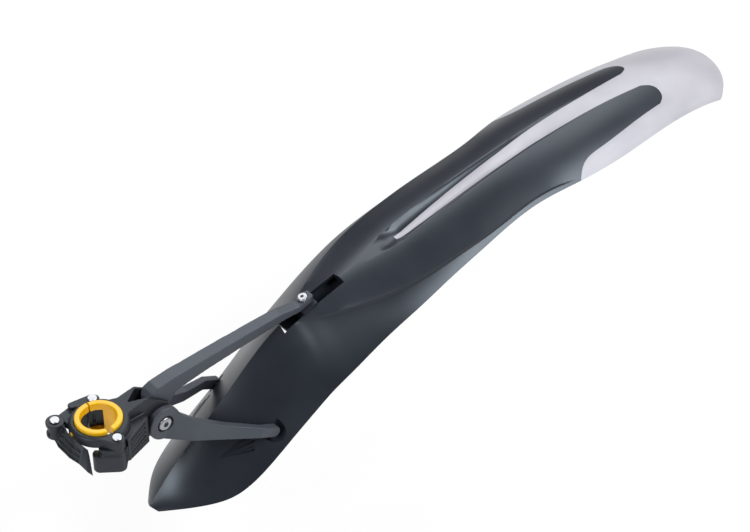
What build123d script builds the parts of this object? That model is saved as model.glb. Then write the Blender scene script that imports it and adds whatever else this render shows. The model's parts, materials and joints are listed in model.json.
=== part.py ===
from build123d import *
import os
from math import atan2, cos, degrees, radians, sin, sqrt

os.makedirs("parts", exist_ok=True)

# Sizes are in millimetres and angles in degrees.
# The origin is on the seat-post axis at half the clamp's height.
# +Z runs up the post, +X rearwards along the mudguard and +Y to the bicycle's right.

# Clearances
PIN_CLEAR = 0.05  # radial, between a pin or bolt and the hole that turns on it
SEAT_CLEAR = 0.05  # radial, between the bush and the clamp halves
SIDE_CLEAR = 0.3  # between faces that slide past each other
SWING_CLEAR = 0.5  # round lugs that swing

# Seat-post bush
POST_D = 25.4
BUSH_WALL = 4.1
BUSH_H = 28.0
GAP_AT_HINGE = 4.0
GAP_AT_CLASP = 0.7
PARTING_TURN = 7.0
WINDOW_FROM = 42.0
WINDOW_TO = 128.0
WINDOW_LOW = -10.0
WINDOW_HIGH = 7.8
FRONT_BUSH_FOOT = 4.3  # the front half is shorter
NUB_D = 4.0
NUB_ANGLE = 172.0
NUB_Z = 7.0
NUB_PROUD = 0.6

# Clamp halves
SHELL_TOP = 11.5
BODY_WALL = 4.6
BODY_FOOT = -15.0
BODY_ROUND = 2.4
JAW_WALL = 4.2
JAW_FOOT = 4.0
JAW_ROUND = 2.8
KNUCKLE_LOW = 0.6
KNUCKLE_HIGH = 6.6
PIN_D = 4.0
PIN_HEAD_D = 7.0
PIN_HEAD_H = 1.2
HINGE_ANGLE = -94.0
HINGE_LUG_R = 5.2
HINGE_OFFSET = 1.7  # wall between the bush and the hinge lug
HINGE_BOSS_R = 4.2
BLOCK_TOP = -1.5  # hinge block of the body, under the jaw's lug
BLOCK_FOOT = -16.0
BLOCK_R = 4.8
BLOCK_ANGLE = -127.0
BLOCK_ROOT_ANGLE = -66.0
SPACER_ANGLE = -116.0  # narrower step of the block up to the jaw
SKIRT_FOOT = -10.0  # deeper wall of the jaw beside the link
SKIRT_TO = 150.0

# Clasp link and quick-release lever
LINK_ANGLE = 65.0
LINK_LUG_R = 5.0
LINK_OFFSET = 0.7
LINK_BOTTOM = -6.0
LINK_TOP = 10.0
LINK_BEND_ANGLE = 101.0
LINK_BEND_R = 2.9
LINK_BEND_GAP = 1.3
LEVER_PIN_ANGLE = 140.0
LEVER_BOSS_R = 6.5
PAD_H = 2.0
PAD_R = 2.2
LEVER_FOOT = -2.4
LEVER_TOP_T = 1.4
LEVER_FOOT_T = 4.4
LEVER_THROW = 120.0

# Outer face of the lever round the post: angle, radius and z of its upper edge and of its lower edge
LEVER_FACE = [
    (140.0, 25.2, 9.2, 33.6, -2.4),
    (165.0, 23.8, 9.2, 30.6, -2.4),
    (190.0, 23.6, 8.4, 30.4, -2.7),
    (207.0, 23.7, 6.2, 31.2, -3.7),
    (228.0, 25.4, 0.8, 36.4, -10.8),
]
LEVER_END = [(214.0, 22.5, 4.4), (217.0, 27.5, -1.0), (220.5, 34.5, -9.5)]  # three points of its end
GROOVE_ANGLES = [158.0, 165.0, 190.0, 204.0]
GROOVE_SHARES = [(0.28, 0.4), (0.56, 0.68), (0.82, 0.92)]  # of the face, from its upper edge
GROOVE_DEPTH = 0.9

# Fork of the clamp body
PIVOT_X = 45.0
PIVOT_Z = -11.2
FORK_HALF = 9.0
FORK_GAP_HALF = 6.0
EAR_R = 12.0
NECK_FROM_X = 18.0
NECK_X = 36.0
NECK_TOP_Z = 14.2
EAR_TOP = (53.0, 1.5)  # rear end of the ears' sloping top, in side view
NECK_TOP_HALF = 8.2
NECK_SHOULDER_Z = 8.0
POCKET_APEX_X = 24.4
POCKET_WIDE_X = 35.0
CHEEK_FRONT = (6.5, 24.5)
CHEEK_LEAN = 2.0
CHEEK_REAR = (31.0, 14.0)
CHEEK_TOP = 4.0
CHEEK_REAR_FOOT = -19.5
RIB_COUNT = 5
RIB_W = 1.9
RIB_DEPTH = 1.6
RIB_LONG = 19.0
RIB_EDGE = 2.0  # solid left above and below the grooves

# Pivot bolt
BOLT_D = 6.0
BOLT_HEAD_D = 10.5
BOLT_HEAD_H = 2.8
BOLT_SOCKET_D = 4.6
NUT_D = 11.0
NUT_H = 3.2
COUNTERBORE_D = 13.0
COUNTERBORE_DEPTH = 2.6

# Side arms, along the line from the pivot to the flank sockets
SOCKET_X = 124.5
SOCKET_Z = -53.2
EYE_R = 13.0
EYE_T = 5.4
ARM_ROOT_TOP = 9.6
ARM_ROOT_FOOT = 12.4
ARM_NECK_AT = 25.0
ARM_NECK_TOP = 3.8
ARM_NECK_FOOT = 12.0
ARM_T_NECK = 8.0
ARM_MID_AT = 50.0
ARM_MID_BOW = 1.0  # middle of the arm, inside the straight line
ARM_MID_TOP = 2.4
ARM_MID_FOOT = 8.8
ARM_T_MID = 7.0
ARM_BEND_BACK = 13.5
ARM_TIP_R = 4.1
ARM_T_TIP = 6.0
ARM_TIP_Y = 30.6  # inner face of the arm's tip

# Top arm: leg in the fork, then side-view points of the bar (x, underside, top)
LEG_R = 8.6
ELBOW = [(37.2, 4.5), (38.4, 9.0), (41.6, 12.4), (47.0, 14.6)]
ARM_SIDE = [(62.0, 3.4, 16.2), (92.0, 6.8, 17.2), (128.0, 9.3, 18.1), (158.0, 11.2, 18.4)]
ARM_END_W = 8.4
ARM_END_T = 5.4
ARM_END_LONG = 7.0

# Blade stations from the bow to the tail: ridge x, ridge z, half width, drop of the edge
# below the ridge, crest (0 straight flanks, 1 round) and depth of the centre groove
STATIONS = [
    (35.6, -96.9, 6.4, 4.4, 0.2, 0.0),
    (44.3, -87.3, 20.7, 11.6, 0.4, 0.0),
    (58.5, -72.9, 35.3, 26.0, 0.45, 0.0),
    (76.0, -57.6, 41.2, 34.2, 0.45, 0.0),
    (105.0, -35.2, 42.8, 38.3, 0.38, 0.0),
    (132.0, -12.4, 44.2, 41.6, 0.32, 0.0),
    (152.0, 1.3, 45.3, 41.5, 0.36, 0.0),
    (183.0, 12.3, 47.0, 37.4, 0.5, 0.0),
    (215.0, 19.0, 48.5, 28.7, 0.75, 0.0),
    (248.0, 26.0, 49.8, 22.8, 0.9, 0.6),
    (276.0, 32.0, 48.7, 20.2, 1.0, 6.4),
    (310.0, 39.0, 46.7, 19.2, 1.0, 5.6),
    (373.0, 49.2, 44.4, 17.8, 1.0, 4.0),
    (409.0, 53.2, 48.7, 18.3, 1.0, 2.2),
    (460.0, 55.7, 49.6, 18.9, 1.0, 0.7),
    (505.0, 55.2, 46.6, 17.0, 1.0, 0.0),
    (552.0, 51.2, 44.1, 16.3, 1.0, 0.0),
    (580.0, 45.2, 44.0, 15.6, 1.0, 0.0),
    (604.0, 36.7, 43.0, 15.1, 1.0, 0.0),
]
BOLT_X = 183.0
BOW_REACH = (76.0, 276.0)  # stations of the solid that trims the sockets and the channel
WALL = 2.5
GROOVE_SHARE = 0.2
SLOT_FRONT = 159.5
SLOT_REAR = 215.6
SLOT_HALF = 6.0

# Rounded end of the tail in plan, then the plan of the translucent moulding
TAIL_END = [(596.8, 0.0), (594.4, 17.0), (586.0, 32.0), (568.0, 45.5)]
STRIP_EDGE = [(270.0, 2.0), (324.0, 4.5), (376.0, 5.9), (421.0, 7.5), (465.0, 8.3), (513.0, 10.4)]
FINGER_TIP = [(513.0, 10.4), (522.5, 17.0), (522.0, 25.0), (515.0, 30.6)]
FINGER_SIDE = [(515.0, 30.6), (490.0, 33.0), (443.0, 37.6), (422.0, 41.4), (411.0, 50.0)]

# Flank sockets
SOCKET_R = 8.4
SOCKET_RIM = 2.0
SOCKET_FLOOR_T = 3.6
SCREW_D = 4.0
SCREW_HEAD_D = 8.0
SCREW_HEAD_H = 2.2
SCREW_LEFT = 1.2  # material left over the screw's end in the arm's tip

# Slot bolt, slider and nut plate
SLOT_BOLT_D = 4.0
SLOT_HEAD_D = 7.6
SLOT_HEAD_H = 2.3
SLOT_SOCKET_D = 3.0
SLIDER_LONG = 13.0
LEDGE_HALF = 6.9
LEDGE_T = 2.4
SLIDER_CLEAR = 0.5
NUT_PLATE_HALF = 9.0
NUT_PLATE_T = 3.0
NUT_PLATE_LONG = 16.0

# Channel under the slot, along the crown from the bolt
CHANNEL_FRONT = 20.0
CHANNEL_REAR = 37.0
CHANNEL_SIDE = 1.4  # room beside the nut plate
CHANNEL_ROOM = 2.4  # room under the nut plate
CHANNEL_WALL = 2.0

# Values that follow from the sizes above
POST_R = POST_D / 2
BUSH_R = POST_R + BUSH_WALL
SHELL_R = BUSH_R + SEAT_CLEAR
BODY_R = SHELL_R + BODY_WALL
JAW_R = SHELL_R + JAW_WALL
PIN_R = PIN_D / 2
BAND_LOW = KNUCKLE_LOW - SIDE_CLEAR
BAND_HIGH = KNUCKLE_HIGH + SIDE_CLEAR
FAR = 80.0  # reach of the cutting blocks


def polar(radius, angle):
    return (radius * cos(radians(angle)), radius * sin(radians(angle)))


HINGE = polar(SHELL_R + HINGE_OFFSET + HINGE_LUG_R, HINGE_ANGLE)
LINK = polar(SHELL_R + LINK_OFFSET + LINK_LUG_R, LINK_ANGLE)
LEVER_R = JAW_R + PAD_H + SWING_CLEAR + LEVER_BOSS_R
LEVER = polar(LEVER_R, LEVER_PIN_ANGLE)
LINK_BEND = polar(JAW_R + LINK_BEND_GAP + LINK_BEND_R, LINK_BEND_ANGLE)
EYE_IN = FORK_HALF + SIDE_CLEAR
EYE_OUT = EYE_IN + EYE_T
LEG_HALF = FORK_GAP_HALF - SIDE_CLEAR


def upright(point, radius, low, high):
    """Round post along Z."""
    post = Cylinder(radius, high - low, align=(Align.CENTER, Align.CENTER, Align.MIN))
    return Pos(point[0], point[1], low) * post


def cross(x, z, radius, left, right):
    """Round bar along Y, from y = left to y = right."""
    bar = Cylinder(radius, right - left, align=(Align.CENTER, Align.CENTER, Align.MIN))
    return Pos(x, left, z) * Rot(-90, 0, 0) * bar


def link_bar(start, start_r, end, end_r, low, high):
    """Tapered bar with round ends, flat on top and below."""
    ends = (Pos(*start) * Circle(start_r)).edges() + (Pos(*end) * Circle(end_r)).edges()
    return Pos(0, 0, low) * extrude(make_hull(ends), high - low)


def plan_block(points, low, high):
    """Block with a straight-sided plan."""
    return Pos(0, 0, low) * extrude(make_face(Polyline(*points, close=True)), high - low)


def side_block(points, left, right):
    """Block with a straight-sided side view in X and Z, from y = left to y = right."""
    face = make_face(Polyline(*[(x, 0, z) for x, z in points], close=True))
    return Pos(0, left, 0) * extrude(face, right - left, dir=(0, 1, 0))


def rivet(point, low, high):
    """Steel pin with a flat head at both ends."""
    shank = upright(point, PIN_R, low, high)
    head = upright(point, PIN_HEAD_D / 2, high, high + PIN_HEAD_H)
    head = chamfer(head.edges().sort_by(Axis.Z)[-1], PIN_HEAD_H / 3)
    foot = upright(point, PIN_HEAD_D / 2, low - PIN_HEAD_H / 2, low)
    return shank + head + foot


def save(shape, name):
    export_step(shape, f"parts/{name}.step")


# Parting of the clamp: a narrow wedge that is wider at the hinge
near_half = GAP_AT_HINGE / 2
far_half = GAP_AT_CLASP / 2
front_side = [
    (-far_half, FAR),
    (-far_half, BUSH_R),
    (-near_half, -BUSH_R),
    (-near_half, -FAR),
    (-FAR, -FAR),
    (-FAR, FAR),
]
rear_side = [(-x, y) for x, y in front_side]
front_block = Rot(0, 0, -PARTING_TURN) * plan_block(front_side, -FAR, FAR)
rear_block = Rot(0, 0, -PARTING_TURN) * plan_block(rear_side, -FAR, FAR)

# The jaw reaches almost to the body beside its hinge
jaw_end = near_half - SWING_CLEAR
jaw_side = front_side[:2] + [(jaw_end, -BUSH_R), (jaw_end, -FAR)] + front_side[4:]
jaw_block = Rot(0, 0, -PARTING_TURN) * plan_block(jaw_side, -FAR, FAR)

# Bush halves, with a window at the clasp and a nub that locks the front one in the jaw
ring = upright((0, 0), BUSH_R, -BUSH_H / 2, BUSH_H / 2) - upright((0, 0), POST_R, -FAR, FAR)
ring = fillet(ring.edges().filter_by(GeomType.CIRCLE), BUSH_WALL / 5)
window_plan = [(0, 0), polar(FAR, WINDOW_FROM), polar(FAR, WINDOW_TO)]
ring -= plan_block(window_plan, WINDOW_LOW, WINDOW_HIGH)
nub_reach = JAW_R + NUB_PROUD
nub_start = (POST_R + BUSH_R) / 2
nub_place = Rot(0, 0, NUB_ANGLE) * Pos(nub_start, 0, NUB_Z) * Rot(0, 90, 0)
nub_align = (Align.CENTER, Align.CENTER, Align.MIN)
nub = nub_place * Cylinder(NUB_D / 2, nub_reach - nub_start, align=nub_align)
nub_hole = nub_place * Cylinder(NUB_D / 2 + SEAT_CLEAR, FAR, align=nub_align)
save(ring & rear_block, "bush_rear")
front_ring = ring & front_block & upright((0, 0), FAR, FRONT_BUSH_FOOT, FAR)
save(front_ring + nub, "bush_front")

# Front jaw: low half ring, hinge lug and the pad under the lever's boss
hinge_clear = HINGE_LUG_R + SWING_CLEAR
link_clear = LINK_LUG_R + SWING_CLEAR
link_room = link_bar(LINK, link_clear, LINK_BEND, LINK_BEND_R + SWING_CLEAR, -FAR, FAR)
jaw = upright((0, 0), JAW_R, JAW_FOOT, SHELL_TOP)
jaw = fillet(jaw.edges().sort_by(Axis.Z)[-1], JAW_ROUND)
jaw += link_bar((0, 0), JAW_R - JAW_ROUND, HINGE, HINGE_LUG_R, JAW_FOOT, SHELL_TOP)
skirt_sides = [(0, 0), polar(FAR, LINK_ANGLE), polar(FAR, LEVER_PIN_ANGLE), polar(FAR, SKIRT_TO)]
jaw += upright((0, 0), JAW_R, SKIRT_FOOT, SHELL_TOP - JAW_ROUND) & plan_block(skirt_sides, -FAR, FAR)
pad_from = polar(SHELL_R + PAD_R, LEVER_PIN_ANGLE)
pad_to = polar(JAW_R + PAD_H - PAD_R, LEVER_PIN_ANGLE)
jaw += link_bar(pad_from, PAD_R, pad_to, PAD_R, JAW_FOOT, LINK_TOP)
jaw = jaw & jaw_block
jaw += upright(HINGE, HINGE_LUG_R, JAW_FOOT, SHELL_TOP)
jaw -= upright((0, 0), SHELL_R, -FAR, FAR)
jaw -= upright(HINGE, PIN_R + PIN_CLEAR, -FAR, FAR)
jaw -= link_room
jaw -= nub_hole
save(jaw, "front_jaw")

# Clamp body: rear half ring, hinge block, ribbed cheeks and the fork for the arms
body = upright((0, 0), BODY_R, BODY_FOOT, SHELL_TOP)
body = fillet(body.edges().sort_by(Axis.Z)[-1], BODY_ROUND) & rear_block
front_x, front_y = CHEEK_FRONT
rear_x, rear_y = CHEEK_REAR
near_cheek = [
    (front_x - CHEEK_LEAN, -SHELL_R),
    (front_x, -front_y),
    (rear_x, -rear_y),
    (rear_x, 0),
    (front_x - CHEEK_LEAN, 0),
]
cheeks = plan_block(near_cheek, -FAR, CHEEK_TOP)
far_x = LINK[0] + link_clear + 2 * SWING_CLEAR
far_y = front_y + (far_x - front_x) * (rear_y - front_y) / (rear_x - front_x)
far_cheek = [(far_x, 0), (far_x, far_y), (rear_x, rear_y), (rear_x, 0)]
cheeks += plan_block(far_cheek, -FAR, CHEEK_TOP)
foot_line = [(0, BODY_FOOT), (front_x, BODY_FOOT), (rear_x, CHEEK_REAR_FOOT), (rear_x, FAR), (0, FAR)]
body += cheeks & side_block(foot_line, -FAR, FAR)
neck = [
    (0, BODY_FOOT),
    (0, SHELL_TOP),
    (NECK_FROM_X, SHELL_TOP),
    (NECK_X, NECK_TOP_Z),
    EAR_TOP,
    (PIVOT_X, PIVOT_Z),
    (PIVOT_X, PIVOT_Z - EAR_R),
    (rear_x, CHEEK_REAR_FOOT),
]
neck_block = side_block(neck, -FORK_HALF, FORK_HALF)
neck_block += cross(PIVOT_X, PIVOT_Z, EAR_R, -FORK_HALF, FORK_HALF)
shoulders = [
    (0, -FORK_HALF, -FAR),
    (0, -FORK_HALF, NECK_SHOULDER_Z),
    (0, -NECK_TOP_HALF, NECK_TOP_Z),
    (0, NECK_TOP_HALF, NECK_TOP_Z),
    (0, FORK_HALF, NECK_SHOULDER_Z),
    (0, FORK_HALF, -FAR),
]
neck_block = neck_block & extrude(make_face(Polyline(*shoulders, close=True)), FAR, dir=(1, 0, 0))
body += neck_block
block_end = polar(BODY_R - BLOCK_R / 4, BLOCK_ANGLE)
block_root = polar(BODY_R - BLOCK_R, BLOCK_ROOT_ANGLE)
body += link_bar(HINGE, HINGE_LUG_R, block_end, BLOCK_R, BLOCK_FOOT, BLOCK_TOP)
body += link_bar(HINGE, HINGE_LUG_R, block_root, BLOCK_R, BLOCK_FOOT, BLOCK_TOP)
body -= upright(HINGE, hinge_clear, JAW_FOOT - SIDE_CLEAR, FAR)
spacer_end = polar(BODY_R - BLOCK_R / 4, SPACER_ANGLE)
body += link_bar(HINGE, HINGE_BOSS_R, spacer_end, HINGE_BOSS_R, BLOCK_TOP - SIDE_CLEAR, JAW_FOOT - SIDE_CLEAR)
link_low = LINK_BOTTOM - SIDE_CLEAR - PIN_HEAD_H
body -= link_bar(LINK, link_clear, LINK_BEND, LINK_BEND_R + SWING_CLEAR, link_low, FAR)
link_root = (LINK[0] + LINK_LUG_R, SHELL_R / 2)
body += link_bar(LINK, LINK_LUG_R, link_root, LINK_LUG_R, KNUCKLE_LOW, KNUCKLE_HIGH)
body -= upright((0, 0), SHELL_R, -FAR, FAR)
pocket = [(POCKET_APEX_X, 0), (POCKET_WIDE_X, FORK_GAP_HALF), (PIVOT_X, FORK_GAP_HALF)]
pocket += [(x, -y) for x, y in reversed(pocket[1:])]
body -= plan_block(pocket, PIVOT_Z, FAR)
body -= cross(PIVOT_X, PIVOT_Z, LEG_R + SWING_CLEAR, -FORK_GAP_HALF, FORK_GAP_HALF)
body -= Pos(PIVOT_X, 0, 0) * Box(
    FAR, 2 * FORK_GAP_HALF, FAR, align=(Align.MIN, Align.CENTER, Align.CENTER)
)
for side in (-1, 1):
    ends = sorted((side * FORK_HALF, side * FAR))
    body -= cross(PIVOT_X, PIVOT_Z, EYE_R + SWING_CLEAR, *ends)
body -= cross(PIVOT_X, PIVOT_Z, BOLT_D / 2 + PIN_CLEAR, -FAR, FAR)
body -= upright(HINGE, PIN_R, -FAR, FAR)
body -= upright(LINK, PIN_R, -FAR, FAR)
cheek_run = Vector(rear_x - front_x, front_y - rear_y)
cheek_turn = atan2(cheek_run.Y, cheek_run.X)
rib_x = (front_x + rear_x) / 2
rib_y = (front_y + rear_y) / 2
rib_foot = (BODY_FOOT + CHEEK_REAR_FOOT) / 2 + RIB_EDGE + RIB_W / 2
rib_pitch = (CHEEK_TOP - RIB_EDGE - RIB_W / 2 - rib_foot) / (RIB_COUNT - 1)
for side in (-1, 1):
    for number in range(RIB_COUNT):
        place = Pos(rib_x, side * rib_y, rib_foot + number * rib_pitch)
        body -= place * Rot(0, 0, -side * degrees(cheek_turn)) * Box(RIB_LONG, 2 * RIB_DEPTH, RIB_W)
save(body, "clamp_body")

# Steel pins of the clasp
save(rivet(HINGE, BLOCK_FOOT - SIDE_CLEAR, SHELL_TOP + SIDE_CLEAR), "hinge_pin")
save(rivet(LINK, LINK_BOTTOM - SIDE_CLEAR, LINK_TOP + SIDE_CLEAR), "link_pin")
save(rivet(LEVER, LEVER_FOOT - SIDE_CLEAR, LINK_TOP + SIDE_CLEAR), "lever_pin")

# Clasp link: fork round the body's knuckle, single lug between the lever's lugs
link = link_bar(LINK, LINK_LUG_R, LINK_BEND, LINK_BEND_R, LINK_BOTTOM, LINK_TOP)
link -= upright(LINK, link_clear, BAND_LOW, BAND_HIGH)
link += link_bar(LINK_BEND, LINK_BEND_R, LEVER, LINK_LUG_R, KNUCKLE_LOW, KNUCKLE_HIGH)
link -= upright(LINK, PIN_R + PIN_CLEAR, -FAR, FAR)
link -= upright(LEVER, PIN_R, -FAR, FAR)
save(link, "clasp_link")

# Quick-release lever: boss on its pin and a sloping grooved plate round the jaw, cut off at its tip


def post_point(angle, radius, z):
    x, y = polar(radius, angle)
    return Vector(x, y, z)


def face_at(angle):
    """Radius and z of the upper and lower edges of the lever's face at an angle."""
    number = 1
    while LEVER_FACE[number][0] < angle:
        number += 1
    before, after = LEVER_FACE[number - 1], LEVER_FACE[number]
    share = (angle - before[0]) / (after[0] - before[0])
    return [low + (high - low) * share for low, high in zip(before[1:], after[1:])]


def lever_section(angle, corners):
    """Section at an angle, from corners given as a share down the face and a depth behind it."""
    top_r, top_z, foot_r, foot_z = face_at(angle)
    fall = Vector(foot_r - top_r, foot_z - top_z)
    out = Vector(-fall.Y, fall.X).normalized()
    points = []
    for share, depth in corners:
        place = Vector(top_r, top_z) + fall * share - out * depth
        points.append(post_point(angle, place.X, place.Y))
    return make_face(Polyline(*points, close=True))


plate_corners = [(0, 0), (1, 0), (1, LEVER_FOOT_T), (0, LEVER_TOP_T)]
lever = loft([lever_section(row[0], plate_corners) for row in LEVER_FACE], ruled=True)
for start, end in GROOVE_SHARES:
    groove_corners = [(start, -GROOVE_DEPTH), (end, -GROOVE_DEPTH), (end, GROOVE_DEPTH), (start, GROOVE_DEPTH)]
    lever -= loft([lever_section(angle, groove_corners) for angle in GROOVE_ANGLES], ruled=True)
end_points = [post_point(*place) for place in LEVER_END]
beyond = (end_points[1] - end_points[0]).cross(end_points[2] - end_points[0])
end_plane = Plane(origin=end_points[1], x_dir=end_points[2] - end_points[0], z_dir=beyond)
lever -= end_plane * Box(FAR, FAR, FAR, align=(Align.CENTER, Align.CENTER, Align.MIN))
lever -= upright(LEVER, PIN_HEAD_D / 2 + SWING_CLEAR, -FAR, LEVER_FOOT)
lever += upright(LEVER, LEVER_BOSS_R, LEVER_FOOT, LINK_TOP)
link_turn = degrees(atan2(LINK_BEND[1] - LEVER[1], LINK_BEND[0] - LEVER[0]))
swing = [LEVER]
for turn in (link_turn, link_turn + LEVER_THROW / 2, link_turn + LEVER_THROW):
    out_x, out_y = polar(FAR, turn)
    swing.append((LEVER[0] + out_x, LEVER[1] + out_y))
    lever -= link_bar(LEVER, link_clear, swing[-1], link_clear, BAND_LOW, BAND_HIGH)
lever -= plan_block(swing, BAND_LOW, BAND_HIGH)
lever -= upright(LEVER, PIN_R + PIN_CLEAR, -FAR, FAR)
save(lever, "quick_release_lever")

# Pivot bolt and nut across the fork
seat_y = EYE_OUT - COUNTERBORE_DEPTH
bolt = cross(PIVOT_X, PIVOT_Z, BOLT_D / 2, -seat_y - SIDE_CLEAR, seat_y + SIDE_CLEAR + NUT_H)
bolt_head = cross(PIVOT_X, PIVOT_Z, BOLT_HEAD_D / 2, -seat_y - SIDE_CLEAR - BOLT_HEAD_H, -seat_y - SIDE_CLEAR)
bolt_head = fillet(bolt_head.edges().sort_by(Axis.Y)[0], BOLT_HEAD_H / 2)
socket_place = Pos(PIVOT_X, -seat_y - SIDE_CLEAR - BOLT_HEAD_H, PIVOT_Z) * Rot(90, 0, 0)
bolt_head -= socket_place * extrude(RegularPolygon(BOLT_SOCKET_D / 2, 6), BOLT_HEAD_H * 1.2, both=True)
save(bolt + bolt_head, "pivot_bolt")
nut = extrude(RegularPolygon(NUT_D / 2, 6), NUT_H) - Cylinder(BOLT_D / 2, 3 * NUT_H)
save(Pos(PIVOT_X, seat_y + SIDE_CLEAR, PIVOT_Z) * Rot(-90, 0, 0) * nut, "pivot_nut")

# Side arms
run_x = SOCKET_X - PIVOT_X
run_z = SOCKET_Z - PIVOT_Z
reach = sqrt(run_x**2 + run_z**2)
along_x = run_x / reach
along_z = run_z / reach


def arm_section(distance, inner_y, thickness, top, outer_foot, inner_foot):
    """Four-sided section of a side arm, square to its line, at a distance from the pivot."""
    place = Plane(
        origin=(PIVOT_X + distance * along_x, 0, PIVOT_Z + distance * along_z),
        x_dir=(0, 1, 0),
        z_dir=(along_x, 0, along_z),
    )
    corners = [
        (inner_y, top),
        (inner_y + thickness, top),
        (inner_y + thickness, -outer_foot),
        (inner_y, -inner_foot),
    ]
    return place * make_face(Polyline(*corners, close=True))


def side_arm(side):
    """Arm on one side of the mudguard: side is -1 for the left and 1 for the right."""
    bend_at = reach - ARM_BEND_BACK
    spread = (ARM_TIP_Y - EYE_IN) / (bend_at - EYE_R)
    neck_y = EYE_IN + (ARM_NECK_AT - EYE_R) * spread
    middle_y = EYE_IN + (ARM_MID_AT - EYE_R) * spread - ARM_MID_BOW
    arm = loft(
        [
            arm_section(EYE_R / 3, EYE_IN, EYE_T, ARM_ROOT_TOP, ARM_ROOT_FOOT, ARM_ROOT_FOOT),
            arm_section(ARM_NECK_AT, neck_y, ARM_T_NECK, ARM_NECK_TOP, ARM_NECK_FOOT, ARM_NECK_FOOT / 2),
            arm_section(ARM_MID_AT, middle_y, ARM_T_MID, ARM_MID_TOP, ARM_MID_FOOT, ARM_MID_FOOT * 0.7),
            arm_section(bend_at, ARM_TIP_Y, ARM_T_TIP, *[ARM_TIP_R] * 3),
            arm_section(reach, ARM_TIP_Y, ARM_T_TIP, *[ARM_TIP_R] * 3),
        ],
        ruled=True,
    )
    arm += cross(SOCKET_X, SOCKET_Z, ARM_TIP_R, ARM_TIP_Y, ARM_TIP_Y + ARM_T_TIP)
    eye = cross(PIVOT_X, PIVOT_Z, EYE_R, EYE_IN, EYE_OUT)
    eye = fillet(eye.edges().filter_by(GeomType.CIRCLE).sort_by(Axis.Y)[-1], EYE_T / 5)
    arm += eye
    arm -= cross(PIVOT_X, PIVOT_Z, BOLT_D / 2 + PIN_CLEAR, 0, FAR)
    arm -= cross(PIVOT_X, PIVOT_Z, COUNTERBORE_D / 2, seat_y, FAR)
    screw_end = ARM_TIP_Y + ARM_T_TIP - SCREW_LEFT
    arm -= cross(SOCKET_X, SOCKET_Z, SCREW_D / 2, 0, screw_end)
    return arm if side > 0 else mirror(arm, Plane.XZ)


save(side_arm(-1), "side_arm_left")
save(side_arm(1), "side_arm_right")

# Blade skin: each station is a thin arch on a plane square to the ridge


def station_at(x):
    """Number of the station at a ridge x."""
    return [row[0] for row in STATIONS].index(x)


def tangent(number):
    """Direction of the ridge at a station."""
    before = STATIONS[max(number - 1, 0)]
    after = STATIONS[min(number + 1, len(STATIONS) - 1)]
    run = Vector(after[0] - before[0], 0, after[1] - before[1])
    return run.normalized()


def station_plane(number):
    x, z = STATIONS[number][:2]
    return Plane(origin=(x, 0, z), x_dir=(0, 1, 0), z_dir=tangent(number))


def depth_at(share, drop, crest):
    """Depth of the outer skin below the ridge, at a share of the half width."""
    return drop * ((1 - crest) * share + crest * share**2)


def inwards(point, slope):
    """Point of the inner skin, square to the slope from a point of the outer skin."""
    size = sqrt(1 + slope**2)
    return (point[0] - WALL * slope / size, point[1] - WALL / size)


def outer_half(number):
    """Right half of the outer skin, as two three-point curves from the ridge to the edge."""
    half, drop, crest, groove = STATIONS[number][2:]
    share = GROOVE_SHARE
    ridge = (0, -groove)
    bend = (half * share / 2, -groove - drop * (1 - crest) * share / 2)
    rim = (half * share, -depth_at(share, drop, crest))
    side = (half * (share + 1) / 2, -drop * ((1 - crest) * (share + 1) / 2 + crest * share))
    edge = (half, -drop)
    return [ridge, bend, rim, side, edge]


def inner_half(number):
    """Right half of the inner skin, from the ridge to the edge."""
    half, drop, crest, groove = STATIONS[number][2:]
    ridge, bend, rim, side, edge = outer_half(number)
    slope = drop / half
    start = slope * (1 - crest)
    middle = slope * (1 - crest + crest * (GROOVE_SHARE + 1))
    end = slope * (1 + crest)
    lip = WALL * sqrt(1 + 1 / end**2)
    sink = WALL * sqrt(1 + start**2)
    return [
        (0, ridge[1] - sink),
        (bend[0], bend[1] - sink),
        (rim[0], rim[1] - sink),
        inwards(side, middle),
        (half - lip, -drop),
    ]


def flip(points):
    return [(-y, z) for y, z in points]


def arch_lines(points):
    return [Bezier(*points[0:3]), Bezier(*points[2:5])]


def skin_face(number):
    outer = outer_half(number)
    inner = inner_half(number)
    lines = arch_lines(outer) + arch_lines(inner) + [Line(outer[4], inner[4])]
    lines += arch_lines(flip(outer)) + arch_lines(flip(inner)) + [Line(flip(outer)[4], flip(inner)[4])]
    return station_plane(number) * make_face(lines)


def full_face(number):
    outer = outer_half(number)
    lines = arch_lines(outer) + arch_lines(flip(outer)) + [Line(outer[4], flip(outer)[4])]
    return station_plane(number) * make_face(lines)


skin = loft([skin_face(number) for number in range(len(STATIONS))])

# Rounded tail, then the slot for the top arm
tail_end = TAIL_END + [(TAIL_END[-1][0], FAR), (TAIL_END[0][0] + FAR, FAR), (TAIL_END[0][0] + FAR, 0)]
for side in (-1, 1):
    curve = Spline(*[(x, side * y) for x, y in TAIL_END], tangents=[(0, side), (-1, side / 4)])
    rest = Polyline(*[(x, side * y) for x, y in tail_end[3:]], tail_end[0])
    skin -= Pos(0, 0, -2 * FAR) * extrude(make_face([curve, rest]), 4 * FAR)
slot_plan = [
    (SLOT_FRONT, -SLOT_HALF),
    (SLOT_REAR, -SLOT_HALF),
    (SLOT_REAR, SLOT_HALF),
    (SLOT_FRONT, SLOT_HALF),
]
skin -= plan_block(slot_plan, -FAR, FAR)

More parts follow.
